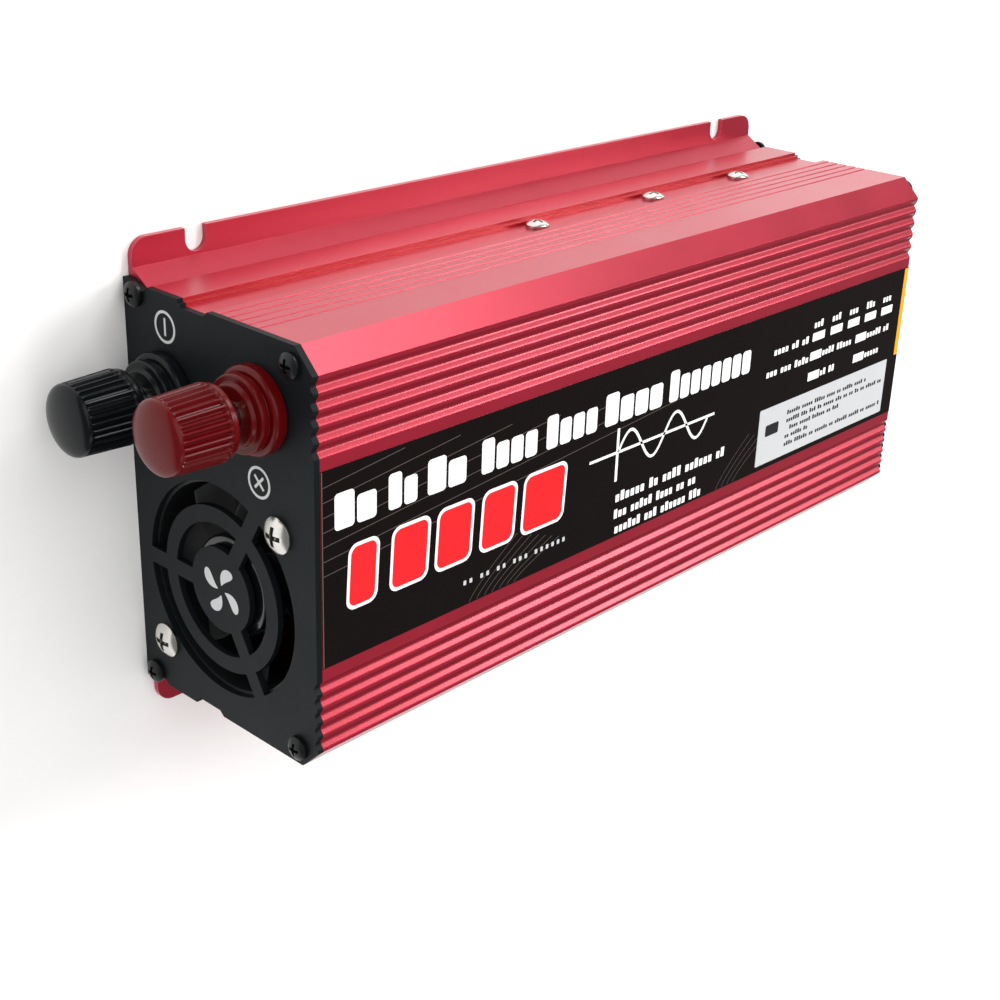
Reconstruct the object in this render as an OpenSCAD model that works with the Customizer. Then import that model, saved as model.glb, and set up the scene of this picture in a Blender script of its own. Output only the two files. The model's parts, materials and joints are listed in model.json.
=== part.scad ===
// Power inverter in an extruded aluminium case with mounting flanges.
// +Z points from the flanged base to the label face, X runs along the case,
// and the fan and the battery terminals are at the -X end.
// The origin is the middle of the base.

/* [Case] */
// Length over both end plates
case_l = 222; // [200:1:260]
// Width across the side bands
case_w = 94; // [94:1:98]
// Height from the base to the label face
case_h = 60; // [60:1:64]
// Thickness of the case walls
wall_t = 1.8; // [1.5:0.1:2.2]
// Thickness of the end plates
plate_t = 1.5; // [1:0.1:2]
// Width of the bevel between a side and the label face
bevel = 5; // [4:0.5:6]

/* [Flanges] */
// Width over both flange tips
flange_w = 111; // [110:0.5:120]
// Thickness of the flanges
flange_t = 1.5; // [1.4:0.1:2]
// Distance between the mounting notches along the case
notch_pitch = 186; // [150:1:190]
// Width of a mounting notch
notch_w = 5.6; // [4:0.2:6]
// How far the notches reach in from the flange tip
notch_depth = 5.4; // [5:0.1:5.6]
// Radius of the flange corners
flange_r = 4; // [2:0.5:5]

/* [Ribs] */
// Ribs on each side of the label
top_ribs = 5; // [3:1:5]
// Distance between rib crests on the label face
top_rib_pitch = 3.35; // [2.8:0.05:3.4]
// Depth of the valleys on the label face
top_rib_depth = 0.85; // [0.4:0.05:1]
// Grooves in each side wall
side_grooves = 5; // [3:1:6]
// Distance between the grooves in the side walls
side_groove_pitch = 3; // [2.4:0.1:3.4]
// Depth of the grooves in the side walls
side_groove_depth = 0.7; // [0.3:0.05:0.8]
// Width of the grooves in the side walls
side_groove_w = 0.8; // [0.6:0.1:1.8]
// Half width of the label
label_half_w = 21.8; // [16:0.1:22]

/* [Fan] */
// Side of the square fan frame
fan_size = 50; // [50:1:50]
// Thickness of the fan
fan_t = 15; // [10:1:20]
// Distance between the fan's screw holes
fan_pitch = 40; // [38:1:41]
// Place of the fan across the case
fan_y = -14.8; // [-15.2:0.1:-14.6]
// Height of the fan's centre
fan_z = 29; // [28.5:0.1:29.2]
// Blades on the rotor
fan_blades = 7; // [5:1:9]
// Outer radius of the grille slots
grille_r = 24.3; // [22:0.1:24.5]
// Width of the grille spokes
spoke_w = 3.8; // [3:0.1:5]

/* [Terminals] */
// Place of the positive terminal across the case
pos_y = 30.7; // [29:0.1:31]
// Height of the positive terminal
pos_z = 43.5; // [42:0.1:44]
// Place of the negative terminal across the case
neg_y = 25.4; // [25.2:0.1:30]
// Height of the negative terminal
neg_z = 13.5; // [12.5:0.1:14.5]
// Radius of the terminals' insulating flanges
post_flange_r = 9.3; // [8:0.1:9.4]
// Radius of the knobs at their widest
knob_r = 8.1; // [7:0.1:9]
// Ribs around a knob
knob_ribs = 32; // [24:1:40]
// Radius of the terminal studs
stud_r = 3; // [3:0.5:3]
// Radius of the cable hole across each stud
cable_hole_r = 1.1; // [0.8:0.1:1.2]

/* [Wall screws] */
// Places along the case of the screws that clamp the transistors
clamp_x1 = -8; // [-12:1:-4]
// Second screw
clamp_x2 = 37; // [32:1:42]
// Third screw
clamp_x3 = 74.5; // [70:0.5:80]

/* [Outlet end] */
// Side of the square outlet face
outlet_size = 38; // [36:1:40]
// Place of the outlet across the case
outlet_y = -17; // [-19:1:-16]
// Place of the rocker switch across the case
switch_y = 19; // [18:1:21]
// Angle that the rocker turns through
rocker_travel = 20; // [12:1:22]

/* [Hidden] */
$fn = 64;

half_l = case_l / 2;
tube_l = case_l - 2 * plate_t;
in_x = half_l - plate_t;              // inner face of an end plate
half_w = case_w / 2;
tip_y = flange_w / 2;
channel_y = half_w - 1.6;             // floor of the screw channel in the side wall
ribbed_y = half_w - 0.5;              // ribbed part of the side wall
in_y = channel_y - wall_t;            // inner face of the side walls
in_z = case_h - 2;                    // inner face of the label wall
base_t = 2;
root_y = tip_y - 6.1;                 // where a flange meets the side wall
channel_z0 = 19.6;
channel_z1 = 27;
groove_z0 = 30.5;                     // lowest groove above the channel
clamp_z = (channel_z0 + channel_z1) / 2;
clamp_xs = [clamp_x1, clamp_x2, clamp_x3];
rib_steps = 12;                       // points in one rib of the label face

board_z = 10;
board_t = 1.6;
board_top = board_z + board_t;
board_x0 = -90;
board_x1 = 90;
rail_reach = 2;

low_boss = [channel_y - 0.6, 4.1];    // end plate screws, beside the base
high_boss = [half_w - 4.6, case_h - 6];
boss_r = 2.6;
plate_screw_r = 1.3;
plate_screw_l = 9;
plate_inset = 0.9;                    // the outlet end's plate is this much smaller than the case
wall_hole_r = 1.6;                    // holes for the screws in the channel

fan_x = -in_x;                        // the fan rests on the inside of its plate
fan_bore_r = 23.6;
blade_r = 22.9;
hub_r = 11.6;
slot_edges = [1, 0.782, 0.626, 0.403]; // radii of the slots' edges as shares of grille_r

posts = [[pos_y, pos_z], [neg_y, neg_z]];
spigot_r = 6;
washer_gap = 2.8;                     // open length of stud between the base and the washer
base_l = 6.6;
washer_t = 0.75;
knob_d = base_l + washer_gap + washer_t + 0.05;
knob_l = 15.6;
knob_rim = 1.6;                       // smooth rim at the knob's rear
knob_barrel = 13;                     // where the ribbed barrel ends
rib_d = 0.4;                          // depth of the valleys between a knob's ribs
insert_r = 4.5;
insert_l = 12.1;
stud_out = 20.5;
stud_in = 13;
run = 0.05;                           // running clearance on a radius
bush_r = 7.5;
bush_t = 2.5;
lug_t = 1;
lug_l = 13;                           // from the stud to the end of a lug
nut_t = 4;
lead_r = 2;
lead_x = -in_x + bush_t + lug_t + lead_r;

outlet_z = case_h / 2;
outlet_proud = 2;
outlet_depth = 16;
pin_y = 8.8;
pin_w = 8;
pin_h = 6.4;
earth_z = 11;
earth_w = 6;
earth_h = 8;
leaf_t = 0.6;                         // spring leaves of the outlet's contacts

switch_z = 35;
bezel = [15, 21];
cut = [13, 19];
rocker_w = 10.2;
rocker_h = 15.4;
pivot_x = half_l - 1;
led_r = 1.5;
led_z = 16;
led_gap = 12;

device_xs = [3, 14.5, 26, 48, 60];    // transistors between the wall screws
device = [10, 4.5, 15];
pad_t = 0.4;
bar_t = 3;
bar_y = in_y - pad_t - device[1] - bar_t;
transformer = [34, 30, 30];           // its core's length and height, its winding's width
transformer_x = -34;
transformer_ys = [-16.2, 16.2];
choke = [40, 12];

red = "#c8283a";
black = "#23282b";
silver = "#d8d8d4";
brass = "#c9a85a";

// A wave with its crests at whole multiples of the pitch: 0 on a crest, 1 in a valley
function wave(t) = (1 - cos(360 * t)) / 2;

// Points of the grooves in the side wall, climbing from the lowest
function side_groove_points() = [
    for (i = [0 : side_grooves - 1], q = [[0, -0.5], [1, -0.2], [1, 0.2], [0, 0.5]])
    [ribbed_y - side_groove_depth * q[0], groove_z0 + side_groove_pitch * i + side_groove_w * q[1]]];

// Points of a ribbed stretch of the label face, running inwards from y0
function top_rib_points(y0) = [for (i = [0 : top_ribs * rib_steps])
    [y0 - top_rib_pitch * i / rib_steps, case_h - top_rib_depth * wave(i / rib_steps)]];

// The side wall of one half, from above the flange to the grooves
function lower_points() = [[channel_y + 0.5, 7], [half_w, 8.2], [half_w, channel_z0 - 1],
    [half_w - 0.8, channel_z0 - 1], [half_w - 0.8, channel_z0], [channel_y, channel_z0],
    [channel_y, channel_z1], [ribbed_y, channel_z1 + 1.2]];

// The bevel and the label face of one half, from above the grooves to the middle
function upper_points() = concat([[ribbed_y, case_h - bevel], [ribbed_y - bevel, case_h]],
    top_rib_points(ribbed_y - bevel - 0.4), [[0, case_h]]);

function case_points() = concat([[0, 0], [tip_y, 0], [tip_y, flange_t], [root_y, flange_t]],
    lower_points(), side_groove_points(), upper_points());

// An end plate; inset draws its sides and its top in
function plate_points(inset) = [for (q = concat([[0, 0], [half_w + 0.6, 0], [half_w + 0.6, 2.4]],
    lower_points(), upper_points())) [q[0] > 0 ? q[0] - inset : 0, q[1] > case_h / 2 ? q[1] - inset : q[1]]];

// Both halves of a shape drawn for +Y, standing across the X axis from x0, length l
module across(x0, l) {
    translate([x0, 0, 0]) rotate([90, 0, 90]) linear_extrude(l) children();
}

module mirrored_y() {
    children();
    mirror([1, 0]) children();
}

module both_sides() {
    children();
    mirror([0, 1, 0]) children();
}

// A solid of revolution about a line along X through [y, z], its profile as [distance out, radius]
module turned_out(x, p, profile) {
    translate([x, p[0], p[1]]) rotate([0, -90, 0])
        rotate_extrude() polygon([for (q = profile) [q[1], q[0]]]);
}

// A cylinder along +X from x, about [y, z]
module rod_x(x, p, r, l) {
    translate([x, p[0], p[1]]) rotate([0, 90, 0]) cylinder(r = r, h = l);
}

// A cylinder along +Y from y, about [x, z]
module rod_y(y, p, r, l) {
    translate([p[0], y, p[1]]) rotate([-90, 0, 0]) cylinder(r = r, h = l);
}

// A rectangle with round corners, about its centre
module round_rect(w, h, r) {
    square([w - 2 * r, h], center = true);
    square([w, h - 2 * r], center = true);
    for (sx = [-1, 1], sy = [-1, 1]) translate([sx * (w / 2 - r), sy * (h / 2 - r)]) circle(r);
}

// A block by its centre in x and y and its lowest z
module block(c, s) {
    translate([c[0] - s[0] / 2, c[1] - s[1] / 2, c[2]]) cube(s);
}

// A cross-recessed pan head screw, the head outwards along -X from the face x
module pan_screw(head_r, head_h, shank_r, shank_l) {
    difference() {
        union() {
            rotate([0, -90, 0]) rotate_extrude() intersection() {
                translate([0, head_h - head_r * 1.6]) circle(head_r * 1.6);
                square([head_r, head_h]);
            }
            rotate([0, 90, 0]) cylinder(r = shank_r, h = shank_l);
        }
        for (a = [0, 90]) rotate([a, 0, 0])
            translate([-head_h * 0.8, 0, 0]) cube([head_h, head_r * 1.1, head_r * 0.26], center = true);
    }
}

// Vector of length 1 along v
function unit(v) = v / norm(v);

// Direction of a route at point i
function heading(p, i) = unit(p[min(i + 1, len(p) - 1)] - p[max(i - 1, 0)]);

// Corners of an eight-sided ring across a route at point i; ref is never along the route
function ring(p, i, r, ref) = let (t = heading(p, i), u = unit(cross(t, ref)), v = cross(u, t))
    [for (k = [0 : 7]) p[i] + r * (cos(45 * k) * u + sin(45 * k) * v)];

// A quadratic curve through a start, a bend and an end point
function bend(a, b, c, n) = [for (i = [0 : n]) let (t = i / n)
    (1 - t) * (1 - t) * a + 2 * t * (1 - t) * b + t * t * c];

// A wire swept along a route
module wire(p, r, ref) {
    n = len(p);
    polyhedron(
        points = [for (i = [0 : n - 1]) each ring(p, i, r, ref)],
        faces = concat(
            [[for (k = [7 : -1 : 0]) k]],
            [for (i = [0 : n - 2], k = [0 : 7]) let (a = 8 * i + k, b = 8 * i + (k + 1) % 8) [a, b, b + 8, a + 8]],
            [[for (k = [0 : 7]) 8 * (n - 1) + k]]));
}

module case_extrusion() {
    color(red) difference() {
        union() {
            difference() {
                across(-in_x, tube_l) mirrored_y() polygon(case_points());
                across(-in_x - 1, tube_l + 2) mirrored_y() polygon([[0, base_t], [in_y, base_t],
                    [in_y, case_h - 6.5], [in_y - 4.5, in_z], [0, in_z]]);
            }
            // screw bosses in the bevel corners, and the rails that hold the board
            across(-in_x, tube_l) mirrored_y() translate(high_boss) circle(boss_r);
            both_sides() for (z = [board_z - 1.3, board_top + 0.1])
                translate([-in_x, in_y - rail_reach, z]) cube([tube_l, rail_reach + 0.1, 1.2]);
        }
        both_sides() {
            for (b = [low_boss, high_boss], x = [-in_x - 1, in_x - 16])
                rod_x(x, b, plate_screw_r + run, 17);
            for (x = clamp_xs) rod_y(in_y - 1, [x, clamp_z], wall_hole_r, 6);
            for (x = [-1, 1]) translate([x * notch_pitch / 2, 0, -1]) {
                translate([0, tip_y - notch_depth + notch_w / 2, 0]) cylinder(d = notch_w, h = flange_t + 2);
                translate([-notch_w / 2, tip_y - notch_depth + notch_w / 2, 0])
                    cube([notch_w, 10, flange_t + 2]);
            }
            for (x = [-1, 1]) translate([x * (in_x - flange_r), tip_y - flange_r, -1]) difference() {
                translate([x > 0 ? 0 : -9, 0, 0]) cube([9, 9, flange_t + 2]);
                cylinder(r = flange_r, h = 3 * flange_t + 2);
            }
        }
    }
}

module end_plate_blank(x, inset) {
    difference() {
        across(x, plate_t) mirrored_y() polygon(plate_points(inset));
        both_sides() for (b = [low_boss, high_boss]) rod_x(x - 1, b, plate_screw_r + 0.3, plate_t + 2);
    }
}

// Ring slots of the fan grille, cut by three spokes
module grille_slots() {
    difference() {
        for (i = [0, 2]) difference() {
            circle(grille_r * slot_edges[i], $fn = 96);
            circle(grille_r * slot_edges[i + 1], $fn = 96);
        }
        for (a = [-90, 30, 150]) rotate(a) translate([0, -spoke_w / 2]) square([grille_r + 1, spoke_w]);
    }
}

module fan_end_plate() {
    color(black) difference() {
        end_plate_blank(-half_l, 0);
        across(-half_l - 1, plate_t + 2) translate([fan_y, fan_z]) grille_slots();
        for (s = [1, -1]) rod_x(-half_l - 1, [fan_y, fan_z] + s * [1, 1] * fan_pitch / 2, 1.9, plate_t + 2);
        for (p = posts) rod_x(-half_l - 1, p, spigot_r + run, plate_t + 2);
    }
}

module outlet_end_plate() {
    color(black) difference() {
        end_plate_blank(in_x, plate_inset);
        across(in_x - 1, plate_t + 2) {
            translate([outlet_y, outlet_z]) round_rect(outlet_size - 3, outlet_size - 3, 2);
            translate([switch_y, switch_z]) square(cut + [0.2, 0.2], center = true);
            for (i = [-1, 1]) translate([switch_y + i * led_gap / 2, led_z]) circle(led_r + 0.1);
            for (i = [0 : 5]) translate([36.5, 12 + 6 * i]) round_rect(9, 2.4, 1.1);
        }
    }
}

module end_plate_screws() {
    color(black) for (s = [0, 180]) rotate([0, 0, s]) both_sides()
        for (b = [low_boss, high_boss])
            translate([-half_l, b[0], b[1]]) pan_screw(2.7, 1.9, plate_screw_r, plate_screw_l);
}

module label() {
    color("#231815") translate([-in_x + 0.1, -label_half_w, case_h])
        cube([tube_l - 0.2, 2 * label_half_w, 0.15]);
}

module fan_frame() {
    color("#1c1e20") translate([fan_x, fan_y, fan_z]) difference() {
        union() {
            difference() {
                rotate([90, 0, 90]) linear_extrude(fan_t) round_rect(fan_size, fan_size, 3);
                rod_x(-1, [0, 0], fan_bore_r, fan_t + 2);
            }
            // motor mount and its four arms at the inner face
            rod_x(fan_t - 2, [0, 0], 11, 2);
            for (a = [45 : 90 : 315]) rotate([a, 0, 0]) translate([fan_t - 2, -1.5, 10]) cube([2, 3, 14.4]);
            rod_x(fan_t - 9, [0, 0], 2.2, 8);
        }
        rod_x(fan_t - 9.5, [0, 0], 1 + run, 9.6);
        for (s = [1, -1], t = [1, -1]) rod_x(-1, [s, t] * fan_pitch / 2, 1.75, fan_t + 2);
    }
}

module fan_stator() {
    color(brass) translate([fan_x, fan_y, fan_z]) difference() {
        union() {
            rod_x(fan_t - 8, [0, 0], 4, 5);
            for (a = [0 : 90 : 270]) rotate([a, 0, 0]) translate([fan_t - 7.5, -2, 3]) cube([4, 4, 5]);
        }
        rod_x(fan_t - 9, [0, 0], 2.2, 7);
    }
}

module fan_rotor() {
    color("#26292b") translate([fan_x + 1, fan_y, fan_z]) {
        difference() {
            rod_x(0, [0, 0], hub_r, 11.5);
            rod_x(1.5, [0, 0], 10, 11);
        }
        for (i = [0 : fan_blades - 1]) rotate([i * 360 / fan_blades, 0, 0])
            intersection() {
                translate([5.5, 0, hub_r - 1]) rotate([0, 0, 38]) translate([-7.2, -0.7, 0])
                    cube([14.4, 1.4, blade_r - hub_r + 2]);
                rod_x(0.3, [0, 0], blade_r, 11);
            }
    }
}

module fan_shaft() {
    color(silver) rod_x(fan_x + 2.5, [fan_y, fan_z], 1, fan_t - 3.5);
}

module fan_screws() {
    color(silver) for (s = [1, -1])
        translate([-half_l, fan_y + s * fan_pitch / 2, fan_z + s * fan_pitch / 2]) pan_screw(4, 2.1, 1.7, 10);
}

// Insulating base: a wide flange, a groove, a collar and a lip, with a spigot through the plate
module post_base(p) {
    difference() {
        turned_out(-half_l, p, [[-plate_t, 0], [-plate_t, spigot_r], [0, spigot_r], [0, post_flange_r],
            [2.2, post_flange_r], [2.8, post_flange_r - 0.25], [3.1, post_flange_r - 0.9],
            [3.1, 7.5], [3.7, 7.5], [3.7, 8.2], [5.2, 8.2], [5.6, 7.7], [5.6, 6.6],
            [base_l, 6.2], [base_l, 0]]);
        rod_x(-half_l - base_l - 1, p, stud_r, base_l + plate_t + 2);
    }
}

module positive_base() {
    color("#c01818") post_base(posts[0]);
}

module negative_base() {
    color("#1d2022") post_base(posts[1]);
}

module stud(p) {
    color(silver) difference() {
        rod_x(-half_l - stud_out, p, stud_r, stud_out + plate_t + stud_in);
        rod_y(p[0] - stud_r - 1, [-half_l - base_l - washer_gap / 2, p[1]], cable_hole_r, 2 * stud_r + 2);
    }
}

module positive_stud() {
    stud(posts[0]);
}

module negative_stud() {
    stud(posts[1]);
}

module inner_bushes() {
    color("#e6e2d6") for (p = posts) difference() {
        rod_x(-in_x, p, bush_r, bush_t);
        rod_x(-in_x - 1, p, stud_r, bush_t + 2);
    }
}

module cable_lugs() {
    color(silver) for (p = posts) translate([-in_x + bush_t, p[0], p[1]]) difference() {
        union() {
            rod_x(0, [0, 0], 6, lug_t);
            translate([0, -lug_l, -3]) cube([lug_t, lug_l, 6]);
        }
        rod_x(-1, [0, 0], stud_r, lug_t + 2);
    }
}

module stud_nuts() {
    color(silver) for (p = posts) difference() {
        translate([-in_x + bush_t + lug_t, p[0], p[1]]) rotate([0, 90, 0])
            cylinder(r = 5.5, h = nut_t, $fn = 6);
        rod_x(-in_x, p, stud_r, bush_t + lug_t + nut_t + 1);
    }
}

module clamp_washer(p) {
    color(silver) difference() {
        rod_x(-half_l - base_l - washer_gap - washer_t, p, 5.6, washer_t);
        rod_x(-half_l - knob_d - 1, p, stud_r + run, washer_t + 2);
    }
}

module positive_washer() {
    clamp_washer(posts[0]);
}

module negative_washer() {
    clamp_washer(posts[1]);
}

// Knob: a smooth rear rim, a ribbed barrel and a domed tip
module knob(p) {
    tip_r = knob_r - 0.6;
    dome_l = knob_l - knob_barrel - 0.4;
    difference() {
        union() {
            turned_out(-half_l - knob_d, p, [[0, 0], [0, knob_r - 0.9], [0.5, knob_r - 0.3],
                [knob_rim, knob_r - 0.3], [knob_rim, 0]]);
            across(-half_l - knob_d - knob_barrel, knob_barrel - knob_rim) translate(p)
                polygon([for (i = [0 : knob_ribs * 4 - 1])
                    let (r = knob_r - rib_d * wave(i / 4), a = 90 * i / knob_ribs) [r * cos(a), r * sin(a)]]);
            turned_out(-half_l - knob_d, p, concat([[knob_barrel, 0], [knob_barrel, tip_r]],
                [for (a = [0 : 10 : 90]) [knob_barrel + 0.4 + dome_l * sin(a), tip_r * pow(cos(a), 0.55)]]));
        }
        rod_x(-half_l - knob_d - insert_l - 0.1, p, insert_r, insert_l + 1.1);
    }
}

module positive_knob() {
    color("#c8202a") knob(posts[0]);
}

module negative_knob() {
    color("#2a2f31") knob(posts[1]);
}

module knob_insert(p) {
    color(brass) difference() {
        rod_x(-half_l - knob_d - insert_l - 0.1, p, insert_r, insert_l);
        rod_x(-half_l - knob_d - insert_l - 1, p, stud_r + run, insert_l + 2);
    }
}

module positive_insert() {
    knob_insert(posts[0]);
}

module negative_insert() {
    knob_insert(posts[1]);
}

// The three pin holes of the outlet, as outlines about its centre
module pin_holes() {
    for (s = [-1, 1]) translate([s * pin_y, -3]) square([pin_w, pin_h], center = true);
    translate([0, earth_z - 1]) square([earth_w, earth_h], center = true);
}

module outlet_face() {
    color("#1a1c1e") difference() {
        union() {
            across(half_l, outlet_proud) translate([outlet_y, outlet_z])
                round_rect(outlet_size, outlet_size, 3);
            across(in_x, plate_t) translate([outlet_y, outlet_z])
                round_rect(outlet_size - 3.2, outlet_size - 3.2, 1.9);
        }
        across(in_x - 1, plate_t + outlet_proud + 2) translate([outlet_y, outlet_z]) pin_holes();
    }
}

module outlet_shell() {
    color("#e8e6df") difference() {
        across(in_x - outlet_depth, outlet_depth) translate([outlet_y, outlet_z])
            round_rect(outlet_size - 3.2, outlet_size - 6, 2);
        across(in_x - outlet_depth + 2, outlet_depth) translate([outlet_y, outlet_z]) pin_holes();
    }
}

module outlet_contacts() {
    color(brass) translate([in_x - outlet_depth + 2, outlet_y, outlet_z]) {
        for (s = [-1, 1], t = [-1, 1])
            translate([0, s * pin_y - 2.5, -3 + t * (pin_h - leaf_t) / 2 - leaf_t / 2]) cube([10, 5, leaf_t]);
        for (t = [-1, 1])
            translate([0, t * (earth_w - leaf_t) / 2 - leaf_t / 2, earth_z - 3.5]) cube([10, leaf_t, 5]);
    }
}

module switch_housing() {
    color("#17191b") difference() {
        union() {
            across(half_l, 2) translate([switch_y, switch_z]) round_rect(bezel[0], bezel[1], 1.5);
            across(in_x - 12, 12 + plate_t) translate([switch_y, switch_z]) square(cut, center = true);
        }
        across(in_x - 8, 20) translate([switch_y, switch_z])
            square([rocker_w + 0.8, rocker_h + 0.8], center = true);
        rod_y(switch_y - 6.2, [pivot_x, switch_z], 1 + run, 12.4);
    }
}

// Rocker: a shallow V on top, round underneath, on two pins; it rests with its lower end pressed
module switch_rocker() {
    color("#b5121b") translate([pivot_x, switch_y, switch_z]) rotate([0, rocker_travel / 2, 0]) {
        rotate([90, 0, 0]) translate([0, 0, -rocker_w / 2]) linear_extrude(rocker_w)
            polygon([[-2.5, -5.5], [0.5, -7.2], [3.4, -7.3], [2.2, 0], [3.4, 7.3], [0.5, 7.2], [-2.5, 5.5]]);
        rod_y(-6, [0, 0], 1, 12);
    }
}

module switch_terminals() {
    color(brass) for (z = [-6, 6]) translate([in_x - 20, switch_y - 2.4, switch_z + z]) cube([8, 4.8, 0.8]);
}

module led(y) {
    rod_x(half_l - 5, [y, led_z], led_r, 5.2);
    translate([half_l + 0.2, y, led_z]) intersection() {
        sphere(led_r);
        translate([0, -2, -2]) cube(4);
    }
    rod_x(half_l - 6, [y, led_z], led_r + 0.4, 1);
}

module power_led() {
    color("#3ad060") led(switch_y - led_gap / 2);
}

module fault_led() {
    color("#e03030") led(switch_y + led_gap / 2);
}

module main_board() {
    color("#1d6b3a") translate([board_x0, -in_y + 0.6, board_z])
        cube([board_x1 - board_x0, 2 * in_y - 1.2, board_t]);
}

module insulation_sheet() {
    color("#e8e4d0") translate([board_x0, -in_y + 5, base_t]) cube([board_x1 - board_x0, 2 * in_y - 10, 0.4]);
}

module transformer_cores() {
    color("#4a4c50") for (y = transformer_ys) translate([transformer_x, y, board_top + 3]) difference() {
        block([0, 0, 0], [transformer[0], 12, transformer[2]]);
        for (s = [-1, 1]) block([s * 9.5, 0, 5], [7, 14, transformer[2] - 10]);
    }
}

module transformer_windings() {
    color("#e3b828") for (y = transformer_ys) translate([transformer_x, y, board_top]) difference() {
        union() {
            block([0, 0, 9.5], [22, transformer[1] - 3, transformer[2] - 13]);
            for (z = [8.2, 26.5]) block([0, 0, z], [25.8, transformer[1], 1.3]);
            for (s = [-1, 1]) block([0, s * 12, 0], [24, 4, 8.2]);
        }
        block([0, 0, 7], [12, 12, 22]);
    }
}

module input_capacitors() {
    color("#2b3a67") for (y = [-27, -12, 3]) translate([-70, y, board_top]) {
        cylinder(r = 6.4, h = 24);
        translate([0, 0, 24]) cylinder(r = 5.6, h = 0.6);
    }
}

module bulk_capacitor() {
    color("#22324f") translate([10, -12, board_top]) {
        cylinder(r = 11, h = 34);
        translate([0, 0, 34]) cylinder(r = 10, h = 0.6);
    }
}

module choke_core() {
    color("#d9c24a") translate([choke[0], choke[1], board_top + 2.5]) rotate_extrude()
        translate([7.5, 0]) square([5.5, 9]);
}

module choke_winding() {
    color("#b8622c") translate([choke[0], choke[1], board_top + 2.5])
        rotate([0, 0, 20]) rotate_extrude(angle = 320) difference() {
            translate([6, -1.5]) square([8.5, 12]);
            translate([7.5, 0]) square([5.5, 9]);
        }
}

module blade_fuses() {
    color("#3fae5a") for (y = [19, 28]) translate([-72, y, board_top]) {
        block([0, 0, 4], [19, 5, 10]);
        for (s = [-1, 1]) block([s * 7, 0, 0], [5, 0.8, 4]);
    }
}

module transistors() {
    color("#202224") both_sides() for (x = device_xs) {
        block([x, in_y - pad_t - device[1] / 2, board_top + 4], device);
        for (s = [-1, 0, 1]) block([x + s * 2.5, in_y - pad_t - device[1] / 2 - 0.6, board_top], [0.9, 0.6, 4]);
    }
}

module insulating_pads() {
    color("#b9c0c4") difference() {
        both_sides() translate([-13, in_y - pad_t, board_top + 3.4]) cube([92, pad_t, 16.6]);
        both_sides() for (x = clamp_xs) rod_y(in_y - 5, [x, clamp_z], wall_hole_r, 6);
    }
}

module clamp_bars() {
    color("#9ea4a8") difference() {
        both_sides() translate([-12, bar_y, clamp_z - 3.5]) cube([90, bar_t, 7]);
        both_sides() for (x = clamp_xs) rod_y(bar_y - 1, [x, clamp_z], 1.5, bar_t + 2);
    }
}

module clamp_screws() {
    color(silver) both_sides() for (x = clamp_xs) translate([x, channel_y, clamp_z])
        rotate([0, 0, -90]) pan_screw(2.9, 1.9, 1.5, channel_y - bar_y + 1.5);
}

module control_board() {
    color("#1f7a44") translate([80, -14, board_top]) cube([1.2, 40, 22]);
}

module control_chips() {
    color("#1b1b1d") for (y = [-4, 10]) block([79, y, board_top + 5], [2, 7, 12]);
}

module buzzer() {
    color("#151617") translate([70, -24, board_top]) difference() {
        cylinder(r = 6, h = 8);
        translate([0, 0, 6]) cylinder(r = 1.2, h = 3);
    }
}

module positive_lead() {
    color("#c21d22") wire(concat(
        [[lead_x, pos_y + 1.5 - lug_l, pos_z], [lead_x + 3, pos_y - lug_l, pos_z - 4]],
        bend([lead_x + 6, pos_y - lug_l - 1, pos_z - 10], [-88, 16, board_top + 16], [-85, 17, board_top], 8)),
        lead_r, [0, 1, 0.1]);
}

module negative_lead() {
    color("#1b1d1f") wire(bend([lead_x, neg_y + 1.5 - lug_l, neg_z + 1], [-93, 13, board_top + 20],
        [-85, 10, board_top], 10), lead_r, [0, 1, 0.1]);
}

module outlet_leads() {
    color("#d8d4c8") for (s = [-1, 1]) translate([0, outlet_y + s * pin_y, 0])
        wire(bend([in_x - outlet_depth, 0, outlet_z - 3], [84.5, 0, outlet_z - 3], [84.5, 0, board_top], 10),
            1.2, [0, 1, 0]);
}

module fan_lead() {
    color("#d02a2a") for (y = [fan_y - 8, fan_y - 5.6])
        wire(bend([fan_x + fan_t, y, fan_z - 7], [-86, y, fan_z - 7], [-86, y, board_top], 10), 0.8, [0, 1, 0]);
}

case_extrusion();
fan_end_plate();
outlet_end_plate();
end_plate_screws();
label();
fan_frame();
fan_stator();
fan_rotor();
fan_shaft();
fan_screws();
positive_base();
negative_base();
positive_stud();
negative_stud();
inner_bushes();
stud_nuts();
cable_lugs();
positive_washer();
negative_washer();
positive_knob();
negative_knob();
positive_insert();
negative_insert();
outlet_face();
outlet_shell();
outlet_contacts();
switch_housing();
switch_rocker();
switch_terminals();
power_led();
fault_led();
main_board();
insulation_sheet();
transformer_cores();
transformer_windings();
input_capacitors();
bulk_capacitor();
choke_core();
choke_winding();
blade_fuses();
transistors();
insulating_pads();
clamp_bars();
clamp_screws();
control_board();
control_chips();
buzzer();
positive_lead();
negative_lead();
outlet_leads();
fan_lead();
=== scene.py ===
import json
import math

import bmesh
import bpy
import numpy as np
from mathutils import Matrix, Vector

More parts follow.
